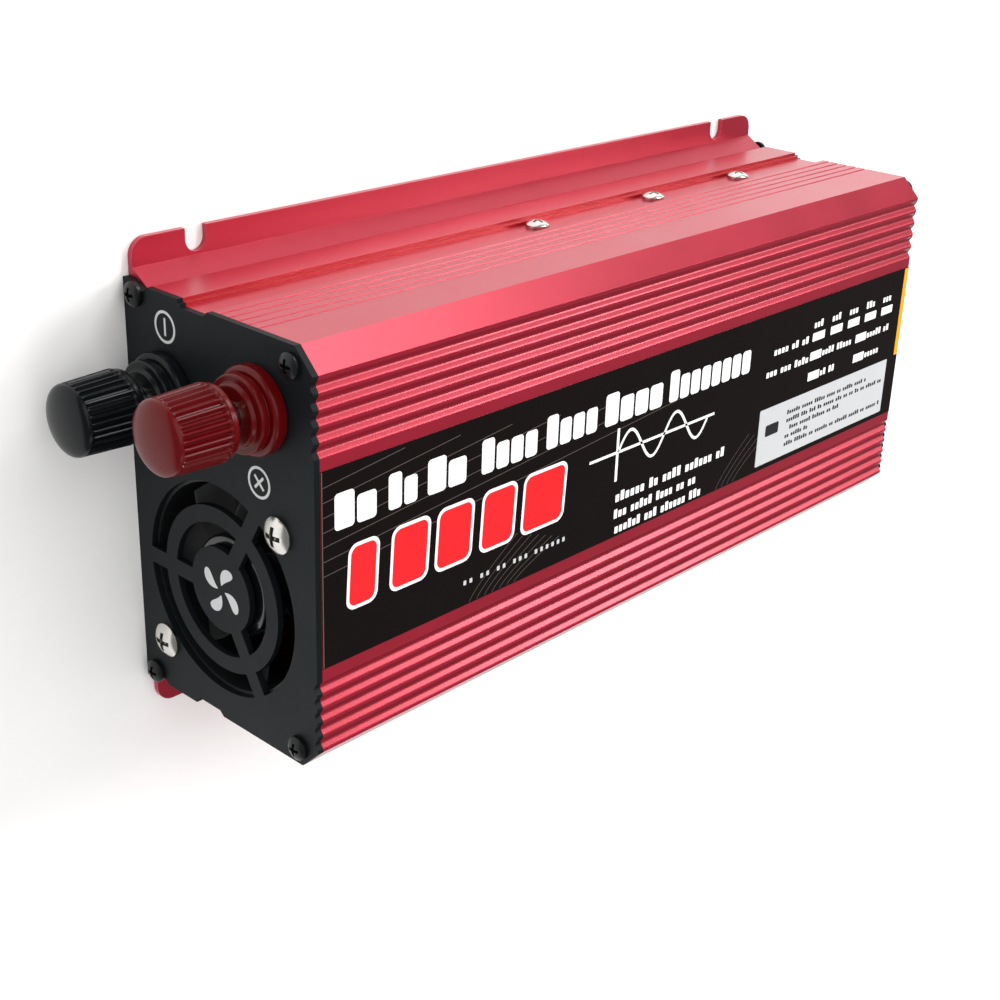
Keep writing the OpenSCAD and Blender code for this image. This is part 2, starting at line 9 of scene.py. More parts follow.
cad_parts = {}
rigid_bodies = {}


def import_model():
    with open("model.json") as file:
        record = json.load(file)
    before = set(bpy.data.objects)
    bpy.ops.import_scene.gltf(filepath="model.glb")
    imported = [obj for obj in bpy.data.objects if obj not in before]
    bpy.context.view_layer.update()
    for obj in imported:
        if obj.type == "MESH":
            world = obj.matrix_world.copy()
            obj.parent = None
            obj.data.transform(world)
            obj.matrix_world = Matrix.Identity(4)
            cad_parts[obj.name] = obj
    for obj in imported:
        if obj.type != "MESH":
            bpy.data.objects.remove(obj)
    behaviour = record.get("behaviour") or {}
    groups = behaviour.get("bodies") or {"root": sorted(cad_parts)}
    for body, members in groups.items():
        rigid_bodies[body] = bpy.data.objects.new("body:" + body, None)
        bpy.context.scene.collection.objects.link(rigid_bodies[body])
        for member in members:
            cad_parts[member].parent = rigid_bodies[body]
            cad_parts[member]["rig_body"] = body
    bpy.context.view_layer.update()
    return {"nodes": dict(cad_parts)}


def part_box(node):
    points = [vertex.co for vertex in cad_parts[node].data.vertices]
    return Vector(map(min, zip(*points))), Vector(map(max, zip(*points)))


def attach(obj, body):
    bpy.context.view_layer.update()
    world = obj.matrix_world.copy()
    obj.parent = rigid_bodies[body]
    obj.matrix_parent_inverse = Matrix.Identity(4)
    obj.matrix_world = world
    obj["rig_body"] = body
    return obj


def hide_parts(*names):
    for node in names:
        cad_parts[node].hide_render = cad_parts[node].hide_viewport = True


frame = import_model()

mm = 0.001
rng = np.random.default_rng(7)

# the frame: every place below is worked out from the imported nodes
caseLow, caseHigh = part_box("case_extrusion")
plateLow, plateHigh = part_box("fan_end_plate")
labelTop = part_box("label")[1].z
rotorLow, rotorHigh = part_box("fan_rotor")
plateFace = plateLow.x                      # outer face of the fan end plate
fanCentre = (rotorLow + rotorHigh) / 2
print("frame loaded, case", [round(v / mm, 1) for v in caseHigh - caseLow], "mm")


# mesh helpers


def newPiece(name, verts, faces, body, material, smoothAngle=35.0):
    # a finished piece: faces turned outwards, smooth up to an angle, and riding on its body
    mesh = bpy.data.meshes.new(name)
    mesh.from_pydata(np.asarray(verts, float).tolist(), [], faces)
    bm = bmesh.new()
    bm.from_mesh(mesh)
    bmesh.ops.recalc_face_normals(bm, faces=bm.faces)
    bm.to_mesh(mesh)
    bm.free()
    mesh.polygons.foreach_set("use_smooth", np.ones(len(mesh.polygons), bool))
    mesh.set_sharp_from_angle(angle=math.radians(smoothAngle))
    mesh.materials.append(material)
    piece = bpy.data.objects.new(name, mesh)
    bpy.context.scene.collection.objects.link(piece)
    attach(piece, body)
    return piece


def gridFaces(rows, cols, offset=0, wrapRows=False):
    # quads between neighbouring rows; columns always wrap round
    i = np.arange(rows if wrapRows else rows - 1)[:, None]
    j = np.arange(cols)[None, :]
    a = i * cols + j
    b = i * cols + (j + 1) % cols
    c = ((i + 1) % rows) * cols + (j + 1) % cols
    d = ((i + 1) % rows) * cols + j
    return (np.stack([a, b, c, d], -1).reshape(-1, 4) + offset).tolist()


def turnedGrid(profile, steps, ripple=None):
    # a point is (distance out, radius * cos t, radius * sin t); ripple(t, row) is added to the radius
    profile = np.asarray(profile, float)
    t = np.linspace(0, 2 * math.pi, steps, endpoint=False)[None, :]
    radius = profile[:, 1][:, None] + np.zeros_like(t)
    if ripple is not None:
        radius = radius + ripple(t, np.arange(len(profile))[:, None])
    out = profile[:, 0][:, None] + np.zeros_like(t)
    return np.stack([out, radius * np.cos(t), radius * np.sin(t)], -1)


def turnedPiece(name, profile, centre, body, material,
                steps=96, ripple=None, loop=False, outward=-1):
    # profile rows are (mm out from the centre along X, mm of radius), carried round the X axis;
    # a looped profile closes by itself, and on any other both poles are closed by a fan of triangles
    grid = turnedGrid(profile, steps, ripple)
    rows = len(grid)
    verts = grid.reshape(-1, 3)
    faces = gridFaces(rows, steps, wrapRows=loop)
    if not loop:
        ends = np.array([[grid[0, :, 0].mean(), 0, 0], [grid[-1, :, 0].mean(), 0, 0]])
        verts = np.vstack([verts, ends])
        first, last = rows * steps, rows * steps + 1
        k = np.arange(steps)
        faces += np.stack([k, (k + 1) % steps, np.full(steps, first)], -1).tolist()
        base = (rows - 1) * steps
        faces += np.stack([base + (k + 1) % steps, base + k, np.full(steps, last)], -1).tolist()
    place = verts * mm * np.array([outward, 1, 1]) + np.array(centre)
    return newPiece(name, place, faces, body, material)


def roundProfile(points, radii, steps=5):
    # each corner becomes a quadratic bend between two points, cut back along its edges by the radius
    # or by nearly half an edge, whichever is less
    nearlyHalf = 0.48
    points = np.asarray(points, float)
    made = [points[:1]]
    s = np.linspace(0, 1, steps + 1)[:, None]
    for k in range(1, len(points) - 1):
        before, corner, after = points[k - 1], points[k], points[k + 1]
        if radii[k] <= 0:
            made.append(corner[None])
            continue
        u, v = before - corner, after - corner
        p = corner + u / np.linalg.norm(u) * min(radii[k], np.linalg.norm(u) * nearlyHalf)
        q = corner + v / np.linalg.norm(v) * min(radii[k], np.linalg.norm(v) * nearlyHalf)
        made.append((1 - s) ** 2 * p + 2 * s * (1 - s) * corner + s ** 2 * q)
    made.append(points[-1:])
    return np.vstack(made)


# materials


def linear(hexColour):
    # sRGB hex to the linear colour that shaders take
    values = [int(hexColour[i:i + 2], 16) / 255 for i in (1, 3, 5)]
    return tuple(v / 12.92 if v <= 0.04045 else ((v + 0.055) / 1.055) ** 2.4 for v in values) + (1.0,)


def addNode(tree, kind, settings=None, inputs=None, links=None):
    # one shader node with its settings, its socket values and the sockets that feed it
    node = tree.nodes.new(kind)
    for key, value in (settings or {}).items():
        setattr(node, key, value)
    for key, value in (inputs or {}).items():
        node.inputs[key].default_value = value
    for key, source in (links or {}).items():
        tree.links.new(source, node.inputs[key])
    return node


pattern = {
    "fineDetail": 3.0, "fineRoughness": 0.6, "fineShare": 0.55,     # the grain, and its share in the colour
    "slowDetail": 4.0, "slowRoughness": 0.55, "slowShare": 0.6,     # the slow patches, and theirs
    "usual": (0.3, 0.7),                                            # where most of a noise's values lie
    "patch": 18.0,                                                  # mm across a slow patch
}


def grainedFinish(name, dark, light, grain, roughness, spread, bump, sockets, patch=None, overlay=None):
    # a fine noise of the grain's size makes the bump and a part of the colour; slow patches make the
    # rest of it and move the roughness; overlay(tree, where, colour) may change the colour by place
    p = pattern
    material = bpy.data.materials.new(name)
    material.use_nodes = True
    tree = material.node_tree
    tree.nodes.clear()
    where = addNode(tree, "ShaderNodeTexCoord").outputs["Object"]
    fine = addNode(tree, "ShaderNodeTexNoise", links={"Vector": where}, inputs={
        "Scale": 1 / (grain * mm), "Detail": p["fineDetail"], "Roughness": p["fineRoughness"]})
    slow = addNode(tree, "ShaderNodeTexNoise", links={"Vector": where}, inputs={
        "Scale": 1 / ((patch or p["patch"]) * mm), "Detail": p["slowDetail"],
        "Roughness": p["slowRoughness"]})
    blend = addNode(tree, "ShaderNodeMath", {"operation": "MULTIPLY_ADD", "use_clamp": True},
                    {1: p["fineShare"], 2: 0.0}, {0: fine.outputs["Fac"]})
    both = addNode(tree, "ShaderNodeMath", {"operation": "MULTIPLY_ADD", "use_clamp": True},
                   {1: p["slowShare"]}, {0: slow.outputs["Fac"], 2: blend.outputs["Value"]})
    colour = addNode(tree, "ShaderNodeMix", {"data_type": "RGBA"},
                     {6: linear(dark), 7: linear(light)}, {0: both.outputs["Value"]}).outputs[2]
    if overlay:
        colour = overlay(tree, where, colour)
    rough = addNode(tree, "ShaderNodeMapRange", links={"Value": slow.outputs["Fac"]}, inputs={
        "From Min": p["usual"][0], "From Max": p["usual"][1],
        "To Min": roughness - spread, "To Max": roughness + spread})
    raised = addNode(tree, "ShaderNodeBump", links={"Height": fine.outputs["Fac"]},
                     inputs={"Strength": 1.0, "Distance": bump * mm})
    shader = addNode(tree, "ShaderNodeBsdfPrincipled", inputs=sockets, links={
        "Base Color": colour, "Roughness": rough.outputs["Result"], "Normal": raised.outputs["Normal"]})
    addNode(tree, "ShaderNodeOutputMaterial", links={"Surface": shader.outputs["BSDF"]})
    return material


# where painted shade darkens the case's red: its grooves, its rib valleys and its narrow step; all lengths
# in mm
caseHollowShade = {
    "grooveShadeHex": "#2e020a", "valleyShadeHex": "#8e0a24", "stepShadeHex": "#b0061a",
    "grooves": (29.9, 43.2), "step": (18.4, 19.8),      # heights
    "ribs": (22.0, 41.3), "ribZone": 1.2,               # across from the middle, and down from the top
    "grooveRamp": (0.12, 0.45),                         # how far in the grooves' painted shade starts and is full
    "valleyRamp": (0.25, 0.85), "valleyShare": 0.55,    # how far down the valleys' does, and its strength
    "wallInset": 1.1,                                   # from the plate's edge in to the side wall
    "stepReach": (1.3, 0.6),                            # how far inside and outside that wall the step lies
}


def paintedHollowShade(tree, where, colour):
    # painted shade: the colour is darkened in the grooves and in the valleys between the ribs, and a purer,
    # deeper red is painted in the narrow step, where the geometry's shade falls: a mask is the product of
    # its bands, each 1 from low to high, and of a depth ramp where it has one
    paintedShade = caseHollowShade
    top = caseHigh.z
    wall = plateHigh.y - paintedShade["wallInset"] * mm
    place = addNode(tree, "ShaderNodeSeparateXYZ", links={"Vector": where})
    height = place.outputs["Z"]
    across = addNode(tree, "ShaderNodeMath", {"operation": "ABSOLUTE"},
                     links={0: place.outputs["Y"]}).outputs["Value"]
    start, full = paintedShade["grooveRamp"]
    inward = addNode(tree, "ShaderNodeMapRange", links={"Value": across}, inputs={
        "From Min": wall - start * mm, "From Max": wall - full * mm}).outputs["Result"]
    start, full = paintedShade["valleyRamp"]
    down = addNode(tree, "ShaderNodeMapRange", links={"Value": height}, inputs={
        "From Min": top - start * mm, "From Max": top - full * mm,
        "To Max": paintedShade["valleyShare"]}).outputs["Result"]
    grooves, step, ribs = ([v * mm for v in paintedShade[key]] for key in ("grooves", "step", "ribs"))
    stepDepth = (wall - paintedShade["stepReach"][0] * mm, wall + paintedShade["stepReach"][1] * mm)
    ribDepth = (top - paintedShade["ribZone"] * mm, top)
    for hexColour, ramp, bands in (
            (paintedShade["grooveShadeHex"], inward, ((height, grooves),)),
            (paintedShade["valleyShadeHex"], down, ((across, ribs), (height, ribDepth))),
            (paintedShade["stepShadeHex"], None, ((height, step), (across, stepDepth)))):
        mask = ramp
        for value, (low, high) in bands:
            band = addNode(tree, "ShaderNodeMath", {"operation": "COMPARE"},
                           {1: (low + high) / 2, 2: (high - low) / 2}, {0: value}).outputs["Value"]
            mask = band if mask is None else addNode(
                tree, "ShaderNodeMath", {"operation": "MULTIPLY"}, links={0: mask, 1: band}).outputs["Value"]
        colour = addNode(tree, "ShaderNodeMix", {"data_type": "RGBA"},
                         {7: linear(hexColour)}, {0: mask, 6: colour}).outputs[2]
    return colour


# a comment says what each finish gives the eye; the columns are the darker and the lighter colour, the
# grain in mm, the roughness, how far it strays, the bump in mm and the other sockets of the shader
finishes = {
    # bead-blasted aluminium, dyed red and anodised: a tight satin sparkle under a clear oxide layer;
    # the blasted grain is drawn a little coarser than it is, so that it shows
    "anodisedAluminiumBlasted": ("#a60a26", "#c0163a", 0.4, 0.36, 0.03, 0.022,
                                 {"Metallic": 0.55, "Coat Weight": 0.6, "Coat Roughness": 0.32}),
    # powder coat on steel sheet: a matt black with a faint blue cast and a fine orange-peel
    "powderCoatedSteel": ("#0c1113", "#14191c", 0.35, 0.5, 0.05, 0.010,
                          {"IOR": 1.5, "Specular IOR Level": 0.16}),
    # black oxide on steel screws: darker than the plate and glossier
    "blackOxideSteel": ("#0c0d0e", "#191b1d", 0.3, 0.34, 0.06, 0.006, {"Metallic": 0.35}),
    # bright nickel on steel screws: nearly white, with soft plating streaks
    "nickelPlatedSteel": ("#c9c8c2", "#eceae4", 0.25, 0.2, 0.06, 0.004, {"Metallic": 1.0}),
    # nickel on turned brass: warmer than the screws
    "nickelPlatedBrass": ("#b9b3a4", "#dcd8cd", 0.25, 0.16, 0.05, 0.003, {"Metallic": 1.0}),
    # printed polyester film: warm black and smooth, a little glossier than the plate
    "printedPolyesterFilm": ("#0e0909", "#15100e", 0.5, 0.2, 0.02, 0.002,
                             {"IOR": 1.5, "Specular IOR Level": 0.12}),
    # screen inks on the film: flat, opaque colour that is duller than the film round it
    "whiteScreenInk": ("#efefec", "#ffffff", 0.4, 0.45, 0.03, 0.003, {"IOR": 1.5}),
    "redScreenInk": ("#d8040f", "#ee0a18", 0.4, 0.42, 0.03, 0.003, {"IOR": 1.5}),
    "greyScreenInk": ("#4d4340", "#5d524e", 0.4, 0.45, 0.03, 0.002, {"IOR": 1.5}),
    # silver ink: a pale grey without a mirror in it, because its flakes lie at every angle
    "silverScreenInk": ("#bfc0c2", "#cfd0d2", 0.4, 0.4, 0.03, 0.003, {"IOR": 1.5}),
    "brownScreenInk": ("#5b463c", "#6d564a", 0.4, 0.45, 0.03, 0.002, {"IOR": 1.5}),
    "blackScreenInk": ("#181818", "#242424", 0.4, 0.45, 0.03, 0.002, {"IOR": 1.5}),
    # vinyl seal tape: a strong even orange with a soft shine
    "orangeSealTape": ("#f09a08", "#ffb010", 0.5, 0.4, 0.03, 0.003, {"IOR": 1.5}),
    # injection-moulded ABS of the terminal bases and the outlet: deep, even colour and a polished skin
    "mouldedAbsRed": ("#4c0305", "#60060a", 0.6, 0.22, 0.04, 0.006,
                      {"IOR": 1.53, "Specular IOR Level": 0.22}),
    "mouldedAbsBlack": ("#0a0e10", "#12171a", 0.6, 0.24, 0.05, 0.006,
                        {"IOR": 1.53, "Specular IOR Level": 0.22}),
    # compression-moulded phenolic of the knobs: as deep, with a slight orange-peel on the crown
    "mouldedPhenolicRed": ("#500306", "#64060a", 0.45, 0.25, 0.04, 0.010,
                           {"IOR": 1.55, "Specular IOR Level": 0.2}),
    "mouldedPhenolicBlack": ("#070b0d", "#0f1417", 0.45, 0.25, 0.04, 0.010,
                             {"IOR": 1.55, "Specular IOR Level": 0.2}),
    # white ink on the plate's powder coat, where it sinks in and greys
    "greyedScreenInk": ("#c2c5c6", "#d4d6d6", 0.3, 0.5, 0.03, 0.003, {"IOR": 1.5}),
    # polished PBT on the fan's hub: a black that catches a crescent of light
    "polishedPbt": ("#0c0e10", "#15181a", 0.6, 0.16, 0.03, 0.004,
                    {"IOR": 1.6, "Coat Weight": 0.5, "Coat Roughness": 0.08}),
    # painted shade in a cross recess: a brown black plate that gives back no light
    "recessShadePaint": ("#141310", "#2a2822", 0.2, 0.6, 0.05, 0.01, {"Metallic": 0.3}),
    # glass-filled PBT of the fan: dull black, slightly rough from its fibres
    "glassFilledPbt": ("#101214", "#191c1e", 0.3, 0.5, 0.05, 0.012, {"IOR": 1.55}),
    # moulded nylon, undyed: a waxy off-white
    "mouldedNylonNatural": ("#d9d4c6", "#e8e4d8", 0.6, 0.45, 0.05, 0.008, {"IOR": 1.53}),
    # stamped brass: yellow metal with a clean, softly streaked shine
    "stampedBrass": ("#b8924a", "#d2ae66", 0.3, 0.24, 0.06, 0.004, {"Metallic": 1.0}),
    # enamelled copper wire: orange brown under a clear varnish
    "enamelledCopper": ("#9c4a22", "#c0703c", 0.5, 0.28, 0.05, 0.02, {"Metallic": 0.9}),
    # zinc plate on rolled steel: a dull blue grey metal
    "zincPlatedSteel": ("#9a9da0", "#b9bcbf", 0.4, 0.35, 0.07, 0.006, {"Metallic": 1.0}),
    # tinned copper of the lugs: paler and softer than zinc
    "tinnedCopper": ("#b4b4b0", "#d0d0cc", 0.4, 0.3, 0.07, 0.006, {"Metallic": 1.0}),
    # moulded polycarbonate of the rocker: a clear bright red with a wet highlight
    "mouldedPolycarbonateRed": ("#8a0a10", "#a81218", 0.6, 0.2, 0.04, 0.004,
                                {"IOR": 1.58, "Coat Weight": 0.3, "Coat Roughness": 0.1}),
    # solder resist on a circuit board: dark green lacquer
    "solderResistGreen": ("#0d4a26", "#14602f", 0.8, 0.34, 0.05, 0.010, {"IOR": 1.5}),
    # vulcanised fibre sheet: cream and papery, with no shine
    "vulcanisedFibre": ("#cfc39c", "#ddd3b2", 0.5, 0.6, 0.04, 0.015, {"IOR": 1.5}),
    # sintered ferrite: charcoal, with the dull gleam of a fired ceramic
    "sinteredFerrite": ("#2c2d31", "#3a3c40", 0.35, 0.5, 0.05, 0.015, {"Metallic": 0.2}),
    # polyester tape wound on the coils: smooth amber yellow
    "polyesterTape": ("#c99a14", "#dfb32a", 0.9, 0.3, 0.05, 0.006, {"IOR": 1.5}),
    # shrunk PVC sleeve of the capacitors: navy, smooth and glossy
    "shrinkSleevePvc": ("#141f3a", "#1c2a4c", 0.8, 0.28, 0.05, 0.006, {"IOR": 1.5}),
    # painted iron powder core: chalky mustard
    "paintedIronPowder": ("#b09022", "#cbab34", 0.4, 0.45, 0.05, 0.015, {"IOR": 1.5}),
    # moulded polycarbonate of the fuses: bright green and shiny
    "mouldedPolycarbonateGreen": ("#18783a", "#249a4e", 0.6, 0.2, 0.04, 0.003, {"IOR": 1.58}),
    # moulded epoxy of chips and transistors: flat black with a fine tooth
    "mouldedEpoxy": ("#101011", "#1b1b1d", 0.3, 0.5, 0.05, 0.012, {"IOR": 1.55}),
    # silicone pads: soft grey rubber
    "siliconeSheet": ("#8d9498", "#a0a7ab", 0.4, 0.6, 0.04, 0.012, {"IOR": 1.42}),
    # extruded PVC round the wires: smooth, with a blurred highlight along the wire
    "pvcInsulationRed": ("#9e0f14", "#b8181e", 0.5, 0.35, 0.04, 0.006, {"IOR": 1.53}),
    "pvcInsulationBlack": ("#101112", "#1c1e20", 0.5, 0.38, 0.04, 0.006, {"IOR": 1.53}),
    "pvcInsulationWhite": ("#cdc8bb", "#e0dbcf", 0.5, 0.35, 0.04, 0.006, {"IOR": 1.53}),
    # cast tinted epoxy of the lamps: glass-smooth, with a sharp point of light
    "tintedEpoxyGreen": ("#1f9a3e", "#38c860", 0.8, 0.12, 0.02, 0.002, {"IOR": 1.55, "Coat Weight": 0.6}),
    "tintedEpoxyRed": ("#b0120e", "#d8201a", 0.8, 0.12, 0.02, 0.002, {"IOR": 1.55, "Coat Weight": 0.6}),
}
# the red case's finish carries painted shade in its grooves, rib valleys and step
overlays = {"anodisedAluminiumBlasted": paintedHollowShade}
finish = {name: grainedFinish(name, *row, overlay=overlays.get(name)) for name, row in finishes.items()}
print("materials made:", len(bpy.data.materials))


# CAD nodes with broken edges

edgeWork = {
    "joinWithin": 0.002, "flatWithin": 0.6,             # mm and degrees, to join the flat faces again
    "segments": 2, "sharpFrom": 32.0, "faceWeight": 100,
    # width of the round in mm, and the finish
    "nodes": {
        "case_extrusion": (0.12, "anodisedAluminiumBlasted"),
        "fan_end_plate": (0.18, "powderCoatedSteel"), "outlet_end_plate": (0.18, "powderCoatedSteel"),
        "end_plate_screws": (0.16, "blackOxideSteel"),
        "fan_screws": (0.2, "nickelPlatedSteel"), "clamp_screws": (0.16, "nickelPlatedSteel"),
        "fan_frame": (0.4, "glassFilledPbt"),
        "positive_stud": (0.15, "nickelPlatedBrass"), "negative_stud": (0.15, "nickelPlatedBrass"),
        "positive_washer": (0.12, "nickelPlatedBrass"), "negative_washer": (0.12, "nickelPlatedBrass"),
        "outlet_face": (0.5, "mouldedAbsBlack"), "switch_housing": (0.4, "mouldedAbsBlack"),
        "switch_rocker": (0.3, "mouldedPolycarbonateRed"),
    },
}


def softened(node, width, material):
    # a copy of a CAD node with its flat faces joined again and its edges broken by a small round
    source = frame["nodes"][node]
    mesh = source.data.copy()
    bm = bmesh.new()
    bm.from_mesh(mesh)
    bmesh.ops.remove_doubles(bm, verts=bm.verts, dist=edgeWork["joinWithin"] * mm)
    flatAngle = math.radians(edgeWork["flatWithin"])
    bmesh.ops.dissolve_limit(bm, angle_limit=flatAngle, verts=bm.verts, edges=bm.edges)
    bmesh.ops.recalc_face_normals(bm, faces=bm.faces)
    bm.to_mesh(mesh)
    bm.free()
    first, *others = node.split("_")
    name = first + "".join(word.capitalize() for word in others) + "Finished"
    mesh.name = name
    mesh.materials.clear()
    mesh.materials.append(material)
    mesh.polygons.foreach_set("use_smooth", np.ones(len(mesh.polygons), bool))
    piece = bpy.data.objects.new(name, mesh)
    bpy.context.scene.collection.objects.link(piece)
    bevel = piece.modifiers.new("brokenEdges", "BEVEL")
    bevel.width = width * mm
    bevel.segments = edgeWork["segments"]
    bevel.limit_method = "ANGLE"
    bevel.angle_limit = math.radians(edgeWork["sharpFrom"])
    weighted = piece.modifiers.new("faceNormals", "WEIGHTED_NORMAL")
    weighted.weight = edgeWork["faceWeight"]
    weighted.keep_sharp = False
    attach(piece, source["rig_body"])
    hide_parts(node)


for node, (width, finishName) in edgeWork["nodes"].items():
    softened(node, width, finish[finishName])
print("edges broken on", len(edgeWork["nodes"]), "nodes")


# CAD nodes that only get a finish

plainNodes = {
    "label": "printedPolyesterFilm", "fan_stator": "enamelledCopper", "fan_shaft": "zincPlatedSteel",
    "inner_bushes": "mouldedNylonNatural", "stud_nuts": "nickelPlatedBrass", "cable_lugs": "tinnedCopper",
    "positive_insert": "stampedBrass", "negative_insert": "stampedBrass",
    "outlet_shell": "mouldedNylonNatural", "outlet_contacts": "stampedBrass",
    "switch_terminals": "stampedBrass", "power_led": "tintedEpoxyGreen", "fault_led": "tintedEpoxyRed",
    "main_board": "solderResistGreen", "insulation_sheet": "vulcanisedFibre",
    "transformer_cores": "sinteredFerrite", "transformer_windings": "polyesterTape",
    "input_capacitors": "shrinkSleevePvc", "bulk_capacitor": "shrinkSleevePvc",
    "choke_core": "paintedIronPowder", "choke_winding": "enamelledCopper",
    "blade_fuses": "mouldedPolycarbonateGreen", "transistors": "mouldedEpoxy",
    "insulating_pads": "siliconeSheet", "clamp_bars": "zincPlatedSteel",
    "control_board": "solderResistGreen", "control_chips": "mouldedEpoxy", "buzzer": "mouldedEpoxy",
    "positive_lead": "pvcInsulationRed", "negative_lead": "pvcInsulationBlack",
    "outlet_leads": "pvcInsulationWhite", "fan_lead": "pvcInsulationRed",
}
for node, finishName in plainNodes.items():
    for slot in frame["nodes"][node].material_slots:
        slot.material = finish[finishName]
print("finish given to", len(plainNodes), "nodes")


# binding posts

# lengths in mm; profile rows are (distance out, radius)
post = {
    "base": [(-1.5, 3.0), (-1.5, 6.0), (0.0, 6.0), (0.0, 9.3), (2.7, 9.3), (3.1, 8.5), (3.15, 7.6),
             (3.65, 7.6), (3.7, 8.2), (5.5, 8.2), (5.6, 6.6), (6.6, 6.3), (6.6, 3.0), (-1.5, 3.0)],
    "baseRound": [0, 0, 0, 0.5, 0.7, 0.4, 0.2, 0.2, 0.35, 0.5, 0.2, 0.35, 0.2, 0], "baseSteps": 128,
    "ribs": 32, "ribDepth": 0.75, "ribSwing": 0.62, "stepsPerRib": 12,
    "rampIn": 0.45, "rampOut": 0.55,                    # over which the ribs rise and run out
    "barrelStart": 1.9, "barrelEnd": 13.1, "barrelRows": 34, "length": 15.6,
    "rearRadius": 8.1, "tipRadius": 7.65, "rimRadius": 7.8, "rimEnd": 1.6,
    "boreRadius": 4.5, "boreDepth": 12.2, "rearRound": [0, 0, 0.3, 0.7, 0.25, 0],
    "domePower": 2.1, "domeRows": 26, "domeStep": 0.1,  # the dome starts one small step after the barrel
}


def postBase(name, node, material):
    # the rounded profile is carried round the post's axis and closes on itself through the bore
    low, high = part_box(node)
    centre = (plateFace, (low.y + high.y) / 2, (low.z + high.z) / 2)
    profile = roundProfile(post["base"], post["baseRound"])[:-1]
    piece = turnedPiece(name, profile, centre, "housing", material,
                        steps=post["baseSteps"], loop=True)
    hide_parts(node)


def knobProfile():
    # bore and rear rim, then a barrel that narrows evenly, then a dome: a quarter of a superellipse,
    # whose distance out and radius are powers of the sine and the cosine
    k = post
    rear = roundProfile([(k["boreDepth"], 0.0), (k["boreDepth"], k["boreRadius"]), (0.0, k["boreRadius"]),
                         (0.0, k["rimRadius"]), (k["rimEnd"], k["rimRadius"]),
                         (k["barrelStart"], k["rearRadius"])], k["rearRound"])
    barrel = np.linspace(k["barrelStart"], k["barrelEnd"], k["barrelRows"])
    share = (barrel - barrel[0]) / (barrel[-1] - barrel[0])
    taper = k["rearRadius"] + (k["tipRadius"] - k["rearRadius"]) * share
    a = np.linspace(0, math.pi / 2, k["domeRows"])
    domeStart = k["barrelEnd"] + k["domeStep"]
    domeOut = domeStart + (k["length"] - domeStart) * np.sin(a) ** (2 / k["domePower"])
    domeRadius = (k["tipRadius"] - k["domeStep"] / 2) * np.cos(a) ** (2 / k["domePower"])
    dome = np.stack([domeOut, domeRadius], -1)
    return np.vstack([rear, np.stack([barrel, taper], -1)[1:], dome])[1:-1]


def knobPiece(name, node, body, material):
    # the profile is carried round, and on the barrel a clipped sine cuts equal grooves between the ribs,
    # which fade in and out over a short ramp at both ends
    k = post
    low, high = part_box(node)
    centre = (high.x, (low.y + high.y) / 2, (low.z + high.z) / 2)
    profile = knobProfile()
    start, end = k["barrelStart"] + k["domeStep"], k["barrelEnd"] - k["domeStep"] / 2

    def ripple(t, row):
        out = profile[row[:, 0], 0][:, None]
        radius = profile[row[:, 0], 1][:, None]
        ramp = np.clip((out - start) / k["rampIn"], 0, 1) * np.clip((end - out) / k["rampOut"], 0, 1)
        isBarrel = (radius > k["boreRadius"] + k["domeStep"]) & (out >= start) & (out <= end)
        wave = np.clip(0.5 + k["ribSwing"] * np.sin(t * k["ribs"]), 0, 1)
        return np.where(isBarrel, -k["ribDepth"] * ramp * (1 - wave), 0.0)

    piece = turnedPiece(name, profile, centre, body, material,
                        steps=k["ribs"] * k["stepsPerRib"], ripple=ripple)
    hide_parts(node)


poles = {"positive": "Red", "negative": "Black"}
for pole, dye in poles.items():
    postBase(pole + "BaseTurned", pole + "_base", finish["mouldedAbs" + dye])
for pole, dye in poles.items():
    knobPiece(pole + "KnobRibbed", pole + "_knob", pole + "_knob_body",
              finish["mouldedPhenolic" + dye])
print("binding posts made")


# fan

# lengths in mm, angles in degrees; distances out are measured inwards from the rotor's front
fan = {
    "hub": [(0.0, 0.0), (0.0, 11.6), (11.4, 11.6), (11.4, 10.2), (1.6, 10.0), (1.6, 0.0)],
    "hubRound": [0, 1.0, 0.3, 0.3, 0.4, 0],
    "blades": 7, "root": 11.0, "tip": 22.7, "middle": 5.9, "sweep": 0.35,
    "chordAtRoot": 9.016, "chordGrowth": 3.332, "thick": 1.1, "thinning": 0.9, "camber": 1.62,
    "pitchAtRoot": 46.0, "pitchFall": 12.0, "depthShare": 0.78,
    "rows": 18, "loop": 32,
}


def fanHub(front):
    # a cup turned about the shaft
    profile = roundProfile(fan["hub"], fan["hubRound"])[1:-1]
    return turnedPiece("fanHub", profile, front, "fan_impeller", finish["polishedPbt"],
                       outward=1)


